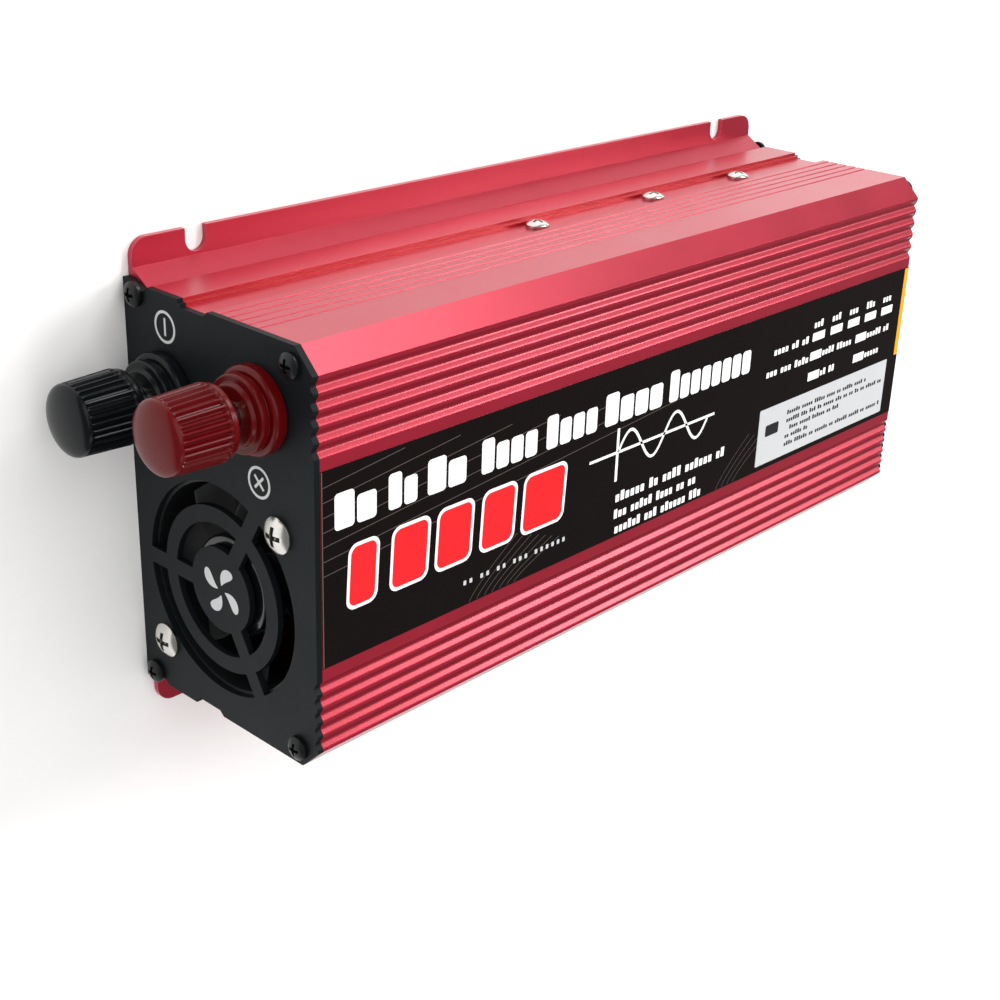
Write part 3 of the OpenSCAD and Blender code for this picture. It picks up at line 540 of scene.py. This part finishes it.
def fanBlades(front):
    # a blade's section is an ellipse round the chord, thinner towards both edges and bent by a parabola;
    # from root to tip the chord grows, the pitch flattens and the section swings back
    rows, loop = fan["rows"], fan["loop"]
    r = np.linspace(fan["root"], fan["tip"], rows)[:, None]
    s = (r - fan["root"]) / (fan["tip"] - fan["root"])
    w = np.linspace(0, 2 * math.pi, loop, endpoint=False)[None, :]
    along = np.cos(w) * 0.5
    across = np.sin(w) * 0.5 * fan["thick"] * (1 - fan["thinning"] * np.abs(along))
    raised = across + fan["camber"] * (0.25 - along ** 2)
    pitch = math.radians(fan["pitchAtRoot"]) - s * math.radians(fan["pitchFall"])
    flat = (fan["chordAtRoot"] + fan["chordGrowth"] * s) * along
    x = fan["middle"] + np.sin(pitch) * flat * fan["depthShare"] + np.cos(pitch) * raised
    angle = (np.cos(pitch) * flat - np.sin(pitch) * raised) / r + fan["sweep"] * s
    verts, faces = [], []
    for b in range(fan["blades"]):
        turn = angle + b * 2 * math.pi / fan["blades"]
        verts.append(np.stack([x, r * np.cos(turn), r * np.sin(turn)], -1).reshape(-1, 3))
        offset = b * rows * loop
        tipStart = offset + (rows - 1) * loop
        faces += gridFaces(rows, loop, offset)
        faces += [list(range(offset, offset + loop)), list(range(tipStart, tipStart + loop))]
    verts = np.vstack(verts) * mm + np.array(front)
    return newPiece("fanBlades", verts, faces, "fan_impeller", finish["glassFilledPbt"])


rotorFront = (rotorLow.x, fanCentre.y, fanCentre.z)
for piece in (fanHub(rotorFront), fanBlades(rotorFront)):
    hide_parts("fan_rotor")
print("fan made")


# outlines for the prints, in mm


def prism(outlines, place, thickness):
    # flat outlines become thin closed plates: a top, a bottom and a wall each
    verts, faces, offset = [], [], 0
    for outline in outlines:
        outline = np.asarray(outline, float)
        n = len(outline)
        verts.append(place(outline, 0.0))
        verts.append(place(outline, thickness))
        k = np.arange(n)
        faces.append((offset + k[::-1]).tolist())
        faces.append((offset + n + k).tolist())
        faces += (np.stack([k, (k + 1) % n, n + (k + 1) % n, n + k], -1) + offset).tolist()
        offset += 2 * n
    return np.vstack(verts), faces


def onLabel(outline, lift):
    # x along the case and y across it, from the label's middle
    level = np.full(len(outline), labelTop + lift * mm)
    return np.stack([outline[:, 0] * mm, outline[:, 1] * mm, level], -1)


def onPlate(outline, lift):
    # first across the case (+Y), then up (+Z)
    level = np.full(len(outline), plateFace - lift * mm)
    return np.stack([level, outline[:, 0] * mm, outline[:, 1] * mm], -1)


def roundBar(x0, y0, x1, y1, r, steps=5, slant=0.0):
    # a rectangle whose corners are quarter circles, leaning by slant mm per mm of height
    leastSide = 1e-4
    r = min(r, abs(x1 - x0) / 2 - leastSide, abs(y1 - y0) / 2 - leastSide)
    a = np.linspace(0, math.pi / 2, steps)
    corners = [(x1 - r, y1 - r), (x0 + r, y1 - r), (x0 + r, y0 + r), (x1 - r, y0 + r)]
    made = []
    for q, (cx, cy) in enumerate(corners):
        bend = a + q * math.pi / 2
        made.append(np.stack([cx + r * np.cos(bend), cy + r * np.sin(bend)], -1))
    made = np.vstack(made)
    made[:, 0] += (made[:, 1] - y0) * slant
    return made


def ribbon(path, width):
    # a line of constant width along a path: each point moved half a width to both sides
    path = np.asarray(path, float)
    direction = np.gradient(path, axis=0)
    direction /= np.linalg.norm(direction, axis=1)[:, None]
    side = np.stack([-direction[:, 1], direction[:, 0]], -1) * width / 2
    return np.vstack([path + side, (path - side)[::-1]])


def ringPair(cy, cz, radius, width, steps=64):
    # a ring as two half rings, so that each outline is simple
    halves = []
    for start in (0.0, math.pi):
        a = np.linspace(start, start + math.pi, steps // 2 + 1)
        circle = np.stack([np.cos(a), np.sin(a)], -1)
        outer = np.array([cy, cz]) + radius * circle
        inner = np.array([cy, cz]) + (radius - width) * circle[::-1]
        halves.append(np.vstack([outer, inner]))
    return halves


def crossOutline(reach, half):
    # the twelve corners of a cross about its middle: one arm's three corners, turned four times
    arm = np.array([[half, half], [reach, half], [reach, -half]])[::-1]
    quarter = np.array([[0.0, 1.0], [-1.0, 0.0]])
    return np.vstack([arm @ np.linalg.matrix_power(quarter, k) for k in range(4)])


def turned(outline, degrees, centre):
    # an outline turned about its middle and set down at a place
    c, d = math.cos(math.radians(degrees)), math.sin(math.radians(degrees))
    return np.asarray(outline) @ np.array([[c, d], [-d, c]]) + np.array(centre)


# label print; lengths in mm, x along the case and y across it, from the label's middle

labelInk = {
    "film": 0.03, "thin": 0.02,                         # ink thickness
    # plain blocks for words: start, end and how many blocks; their foot, tall and low height
    "words": [(-106.0, -94.8, 2), (-91.5, -83.4, 2), (-80.4, -69.0, 2), (-64.3, -46.6, 4),
              (-43.5, -26.1, 4), (-23.2, -1.9, 4), (0.9, 34.2, 8)],
    "wordFoot": 8.1, "wordTall": 8.0, "wordLow": 6.2, "wordGap": 0.7, "wordRound": 0.9,
    # leaning red blocks on a white edge
    "blocks": [(-103.2, -94.6), (-91.3, -80.0), (-78.2, -66.8), (-64.5, -53.2), (-51.2, -36.5)],
    "blockFoot": -10.9, "blockTop": 3.9, "blockRound": 2.4, "blockLean": 0.06,
    "blockEdge": 0.8, "coreRound": 1.8,
    # a sine curve on its two axes
    "waveStart": -17.6, "waveEnd": 17.4, "wavePeriod": 17.6, "waveHeight": 4.6, "waveMiddle": 0.5,
    "waveLine": 0.75, "axisRound": 0.2,
    "axes": [(-28.0, 0.15, -18.3, 0.85), (-17.3, 0.15, 20.4, 0.85), (-18.3, -7.0, -17.4, 6.6)],
    # boxes to tick: a top row with print above each, and two rows with print after each
    "topBoxes": (65.6, 74.3, 82.9, 91.5, 100.1), "topBoxY": (9.9, 12.2), "topBoxHalf": 2.9,
    "rowBoxes": ((65.2, 15.0), (87.7, 14.0)), "rowBoxY": ((5.7, 1.0), (-0.1, 0.55)),
    "rowBoxHalf": (2.7, 1.2), "boxRound": 0.15,
    # strokes by a box, from its middle: start, (end,) foot, height and pitch
    "overBox": (-2.6, 2.8, 13.6, 2.0, 1.5), "afterBox": (3.2, -0.9, 1.9, 1.5),
    # lines of small strokes: start, end, foot, height, pitch and, where it isn't the usual one, the
    # inked share of the pitch
    "boxNames": [(44.9, 61.3, 10.0, 2.0, 1.7), (42.3, 61.6, 4.4, 2.0, 1.7)],
    "underCurve": [(-17.4, 28.7, -12.6, 2.6, 1.9), (-17.6, 16.0, -16.9, 2.4, 1.7),
                   (-17.0, 18.9, -21.0, 2.4, 1.7)],
    "fineLine": (-69.0, -32.8, -16.8, 1.5, 1.9, 0.45),
    # pinstripes: a fan from the left end, and bunches (start, how many, lean) from the lower edge
    "fanStripes": 7, "fanLine": 0.16, "fanFrom": (-109.0, 18.3), "fanDrop": 3.2,
    "fanLength": (22.0, 16.0), "fanRise": (0.115, 0.006),       # of the first stripe, and the change
    "bunches": ((-67.0, 7, 15.0), (24.0, 4, 13.0)), "bunchLine": 0.14, "bunchFoot": -21.5,
    "bunchPitch": 2.4, "bunchClimb": (12.0, 0.9), "bunchPower": 0.8,
    # silver panel, its rows of print and its small block
    "panel": (41.2, -20.4, 104.0, -4.4), "panelRound": 0.4,
    "panelRows": ((54.2, 94.0), (54.2, 102.5), (56.0, 82.0), (54.2, 66.0), (54.2, 102.8)),
    "panelTop": -8.6, "panelPitch": 2.3, "panelStroke": (1.25, 1.05),
    "panelBlock": (44.5, -12.6, 50.5, -9.4), "panelBlockRound": 0.5,
    # a hairline at the near end and the seal at the far end
    "edge": (-109.35, -21.7, -109.1, 21.7), "edgeRound": 0.1,
    "seal": (107.5, -4.0, 109.3, 21.6), "sealRound": 0.2,
}


def printed(name, outlines, place, thickness, finishName):
    # ink is a thin plate that stands on the surface it is printed on
    verts, faces = prism(outlines, place, thickness)
    newPiece(name, verts, faces, "housing", finish[finishName])


def onInk(outline, lift):
    # a second ink on top of the first
    return onLabel(outline, lift + labelInk["film"])


def wordBlocks(x0, x1, letters):
    # a word as a row of plain round blocks, the first one taller
    k = labelInk
    step = (x1 - x0 + k["wordGap"]) / letters
    heights = [k["wordTall"]] + [k["wordLow"]] * (letters - 1)
    return [roundBar(x0 + i * step, k["wordFoot"], x0 + (i + 1) * step - k["wordGap"], k["wordFoot"] + high,
                     k["wordRound"]) for i, high in enumerate(heights)]


def dashes(x0, x1, y, height, pitch, fill=0.72):
    # a line of small print: strokes in groups of two to six, three in ten of them tall
    tallShare, lowHeight, wordGap, strokeRound = 0.3, 0.74, 0.8, 0.15
    made, x = [], x0
    while x < x1 - pitch:
        count = int(rng.integers(2, 7))
        for _ in range(count):
            if x >= x1 - pitch * fill:
                break
            high = height * (1.0 if rng.random() < tallShare else lowHeight)
            made.append(roundBar(x, y, x + pitch * fill, y + high, strokeRound, 3))
            x += pitch
        x += pitch * wordGap
    return made


def whitePrint():
    # words, curve and axes, boxes and their strokes; the order is that of the random draws
    k = labelInk
    made = [outline for word in k["words"] for outline in wordBlocks(*word)]
    x = np.linspace(k["waveStart"], k["waveEnd"], 90)
    turns = (x - k["waveStart"]) / k["wavePeriod"]
    y = k["waveMiddle"] + k["waveHeight"] * np.sin(turns * 2 * math.pi)
    made.append(ribbon(np.stack([x, y], -1), k["waveLine"]))
    made += [roundBar(*axis, k["axisRound"]) for axis in k["axes"]]
    low, high = k["topBoxY"]
    start, end, foot, height, pitch = k["overBox"]
    for x in k["topBoxes"]:
        made.append(roundBar(x - k["topBoxHalf"], low, x + k["topBoxHalf"], high, k["boxRound"], 3))
        made += dashes(x + start, x + end, foot, height, pitch)
    halfX, halfY = k["rowBoxHalf"]
    start, foot, height, pitch = k["afterBox"]
    for y, share in k["rowBoxY"]:
        for x, length in k["rowBoxes"]:
            made.append(roundBar(x - halfX, y - halfY, x + halfX, y + halfY, k["boxRound"], 3))
            made += dashes(x + start, x + start + length * share, y + foot, height, pitch)
    for line in k["boxNames"] + k["underCurve"]:
        made += dashes(*line)
    return made


def pinstripes():
    # a stripe of the fan is a straight line, each one lower, longer and flatter than the one before;
    # a stripe of a bunch leans evenly and climbs by a power of its length, so that it bends over
    k = labelInk
    t = np.linspace(0, 1, 30)
    made = []
    x0, y0 = k["fanFrom"]
    for i in range(k["fanStripes"]):
        along = t * (k["fanLength"][0] + k["fanLength"][1] * i)
        rise = k["fanRise"][0] - k["fanRise"][1] * i
        path = np.stack([x0 + along, y0 - k["fanDrop"] * i + along * rise], -1)
        made.append(ribbon(path, k["fanLine"]))
    for x0, count, lean in k["bunches"]:
        for i in range(count):
            climb = (k["bunchClimb"][0] - k["bunchClimb"][1] * i) * t ** k["bunchPower"]
            path = np.stack([x0 + k["bunchPitch"] * i + lean * t, k["bunchFoot"] + climb], -1)
            made.append(ribbon(path, k["bunchLine"]))
    return made


def labelPrint():
    # each ink is one piece; the order of the strokes is that of the random draws
    k = labelInk
    foot, top, lean, edge = k["blockFoot"], k["blockTop"], k["blockLean"], k["blockEdge"]
    printed("labelPrintWhite", whitePrint(), onLabel, k["film"], "whiteScreenInk")
    printed("labelPrintFine", dashes(*k["fineLine"]), onLabel, k["film"], "silverScreenInk")
    outer = [roundBar(x0, foot, x1, top, k["blockRound"], 8, lean) for x0, x1 in k["blocks"]]
    core = [roundBar(x0 + edge, foot + edge, x1 - edge, top - edge, k["coreRound"], 8, lean)
            for x0, x1 in k["blocks"]]
    printed("labelPrintEdge", outer, onLabel, k["film"], "whiteScreenInk")
    printed("labelPrintRed", core, onInk, k["film"], "redScreenInk")
    printed("labelPinstripes", pinstripes(), onLabel, k["thin"], "greyScreenInk")
    printed("labelPanel", [roundBar(*k["panel"], k["panelRound"])], onLabel, k["film"], "silverScreenInk")
    rows = [outline for i, (x0, x1) in enumerate(k["panelRows"])
            for outline in dashes(x0, x1, k["panelTop"] - k["panelPitch"] * i, *k["panelStroke"])]
    rows.append(roundBar(*k["panelBlock"], k["panelBlockRound"]))
    printed("labelPanelPrint", rows, onInk, k["thin"], "blackScreenInk")
    printed("labelEdge", [roundBar(*k["edge"], k["edgeRound"], 3)], onLabel, k["thin"], "brownScreenInk")
    printed("labelSeal", [roundBar(*k["seal"], k["sealRound"])], onLabel, k["film"], "orangeSealTape")


labelPrint()


# plate print; lengths in mm, places are (across, up)

signs = {
    "minus": (40.0, 14.0), "plus": (14.7, 43.2), "ring": 3.5, "arm": 1.95, "line": 0.6, "plusTurn": 45.0,
    "leaves": 4, "leafStart": 1.2, "leafHalf": 2.6, "leafWidth": 0.34, "leafBend": 0.09, "ink": 0.03,
    # the fan screws' cross recess, darkened by a painted shade plate: their head's radius, the arms, and the
    # plate's height and thickness
    "headRadius": 4.0, "recessArm": 2.15, "recessHalf": 0.5, "recessFloor": 0.66, "recessThick": 0.05,
}


def terminalSigns():
    # a minus and a plus, each in a ring
    k = signs
    half = k["line"] / 2
    made = ringPair(*k["minus"], k["ring"], k["line"]) + ringPair(*k["plus"], k["ring"], k["line"])
    made.append(turned(roundBar(-k["arm"], -half, k["arm"], half, 0.2), 0, k["minus"]))
    made.append(turned(crossOutline(k["arm"], half), k["plusTurn"], k["plus"]))
    return made


def fanSign(cy, cz):
    # a leaf is an ellipse in distance and angle from the middle, bent round by its distance
    k = signs
    w = np.linspace(0, 2 * math.pi, 40, endpoint=False)
    r = k["leafStart"] + k["leafHalf"] * (1 + np.cos(w))
    made = []
    for q in range(k["leaves"]):
        a = q * 2 * math.pi / k["leaves"] + k["leafWidth"] * np.sin(w) + k["leafBend"] * r
        made.append(np.stack([cy + r * np.cos(a), cz + r * np.sin(a)], -1))
    return made


def recessFloor(outline, lift):
    # the painted shade plate of a cross recess lies inside the screw's head
    return onPlate(outline, lift + signs["recessFloor"])


def platePrint():
    # the signs beside the terminals, the fan sign on the grille's hub and painted shade plates in the
    # screws' recesses
    k = signs
    cy, cz = fanCentre.y / mm, fanCentre.z / mm
    printed("platePrintGrey", terminalSigns() + fanSign(cy, cz), onPlate, k["ink"],
            "greyedScreenInk")
    screwLow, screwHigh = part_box("fan_screws")
    reach = (screwHigh.y - screwLow.y) / 2 / mm - k["headRadius"]
    cross = crossOutline(k["recessArm"], k["recessHalf"])
    recesses = [turned(cross, 0, (cy + way * reach, cz + way * reach)) for way in (-1, 1)]
    # a dark plate on each recess floor stands in for the shade inside the recess
    printed("fanScrewRecessShade", recesses, recessFloor, k["recessThick"], "recessShadePaint")


platePrint()
print("prints made")


# floor, light and camera

# lengths in metres
studio = {
    "floorSize": 14.0, "floorHex": ("#f6f5f4", "#faf9f8"), "floorPatch": 400.0, "worldHex": "#ffffff",
    "worldStrength": 0.80, "worldInGloss": 0.20,        # white all round, but dim where it is mirrored
    # place, target, size and watts of each lamp
    "lamps": {
        "overhead": ((-0.45, 1.1, 2.0), (-0.1, 0.3, 0.0), (2.6, 2.6), 22.0),
        "bevelBox": ((0.52, 0.98, 0.49), (-0.1, 0.04, 0.06), (0.5, 0.38), 4.6),
        "ribBox": ((0.88, 0.40, 0.90), (0.0, 0.0, 0.06), (0.36, 0.18), 5.2),
        "sideFill": ((-0.2, -1.3, 1.3), (0.0, -0.02, 0.05), (0.7, 0.5), 2.0),
    },
}


def makeFloor():
    # one square about the origin, in matt paint with a slow drift of its white
    half = studio["floorSize"] / 2
    mesh = bpy.data.meshes.new("floor")
    corners = np.array([[-1, -1, 0], [1, -1, 0], [1, 1, 0], [-1, 1, 0]]) * half
    mesh.from_pydata(corners.tolist(), [], [[0, 1, 2, 3]])
    floor = bpy.data.objects.new("floor", mesh)
    bpy.context.scene.collection.objects.link(floor)
    mesh.materials.append(grainedFinish("paintedFloor", *studio["floorHex"], 4.0, 0.7, 0.03, 0.0,
                                        {"IOR": 1.45}, patch=studio["floorPatch"]))


def makeWorld():
    # even white light, whose strength falls for rays that come off a gloss
    world = bpy.data.worlds.new("studioWorld")
    world.use_nodes = True
    background = world.node_tree.nodes["Background"]
    background.inputs["Color"].default_value = linear(studio["worldHex"])
    path = addNode(world.node_tree, "ShaderNodeLightPath")
    strength = addNode(world.node_tree, "ShaderNodeMapRange", links={"Value": path.outputs["Is Glossy Ray"]},
                       inputs={"To Min": studio["worldStrength"], "To Max": studio["worldInGloss"]})
    world.node_tree.links.new(strength.outputs["Result"], background.inputs["Strength"])
    bpy.context.scene.world = world


def softbox(name, place, target, size, watts):
    # a flat lamp at a place, turned to face its target
    lamp = bpy.data.lights.new(name, "AREA")
    lamp.shape = "RECTANGLE"
    lamp.size, lamp.size_y = size
    lamp.energy = watts
    holder = bpy.data.objects.new(name, lamp)
    holder.location = place
    holder.rotation_euler = (Vector(target) - Vector(place)).to_track_quat("-Z", "Y").to_euler()
    bpy.context.scene.collection.objects.link(holder)


makeFloor()
makeWorld()
for lampName, lampSettings in studio["lamps"].items():
    softbox(lampName, *lampSettings)
# plain display: whites stay white and the reds keep their strength
bpy.context.scene.view_settings.view_transform = "Standard"

view = {
    "place": (-0.29763, 0.14601, 0.27952), "forward": (0.67293, -0.40894, -0.61639),
    "up": (0.27720, 0.91198, -0.30242), "lens": 58.572, "sensor": 36.0, "nearest": 0.01,
}


def makeCamera():
    # the camera's axes are right, up and back, made square from its forward and up directions
    data = bpy.data.cameras.new("camera")
    data.lens = view["lens"]
    data.sensor_width = view["sensor"]
    data.clip_start = view["nearest"]
    camera = bpy.data.objects.new("camera", data)
    bpy.context.scene.collection.objects.link(camera)
    back = -Vector(view["forward"]).normalized()
    right = Vector(view["up"]).cross(back).normalized()
    camera.rotation_mode = "QUATERNION"
    camera.rotation_quaternion = Matrix((right, back.cross(right), back)).transposed().to_quaternion()
    camera.location = view["place"]
    bpy.context.scene.camera = camera


makeCamera()
print("studio and camera set")
